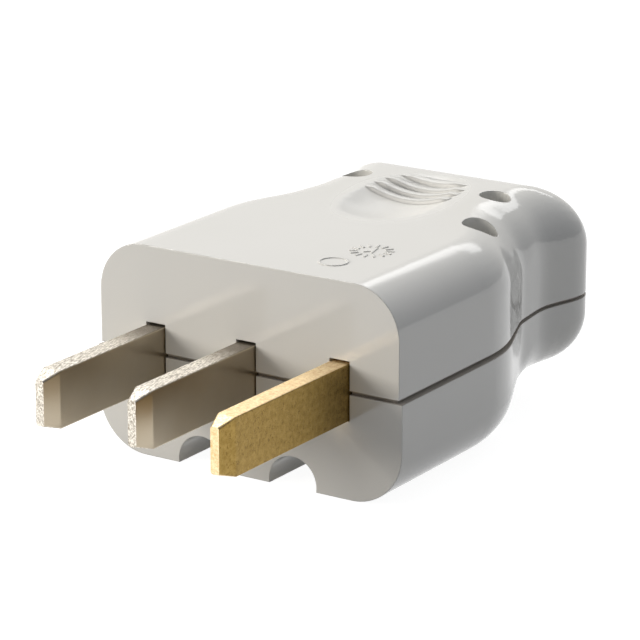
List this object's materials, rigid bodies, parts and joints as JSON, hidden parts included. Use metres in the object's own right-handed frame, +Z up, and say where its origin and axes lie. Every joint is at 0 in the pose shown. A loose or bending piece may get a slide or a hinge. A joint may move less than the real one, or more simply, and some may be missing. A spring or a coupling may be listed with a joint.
{
  "type": "cooker plug",
  "caption": "Heavy-duty cooker plug: a waisted two-shell moulded body with flat upright blades in a row, one of them a longer brass earth blade.",
  "frame": {"origin": "middle of the overall footprint, on the surface that the plug rests on", "axes": "X across the pin face, with the earth blade at +X; +Y from the blade tips to the cord end; +Z up"},
  "size_m": [0.0662, 0.1204, 0.0418],
  "materials": {
    "housing": "moulded gloss off-white",
    "plated_blade": "brass, nickel plated",
    "brass_blade": "bare stamped brass",
    "screw_steel": "zinc plated",
    "guard_steel": "bright spring strip",
    "clamp_plastic": "moulded"
  },
  "bodies": {
    "root": {"upper_cover": "housing", "lower_base": "housing", "line_blade": "plated_blade", "neutral_blade": "plated_blade", "earth_blade": "brass_blade", "line_terminal_screw": "screw_steel", "neutral_terminal_screw": "screw_steel", "earth_terminal_screw": "screw_steel", "clamp_screw_left": "screw_steel", "clamp_screw_right": "screw_steel", "case_screw_waist": "screw_steel", "case_screw_rear_left": "screw_steel", "case_screw_rear_right": "screw_steel", "case_nut_waist": "screw_steel", "case_nut_rear_left": "screw_steel", "case_nut_rear_right": "screw_steel", "line_wire_guard": "guard_steel", "neutral_wire_guard": "guard_steel", "earth_wire_guard": "guard_steel", "cord_clamp": "clamp_plastic"}
  },
  "joints": []
}
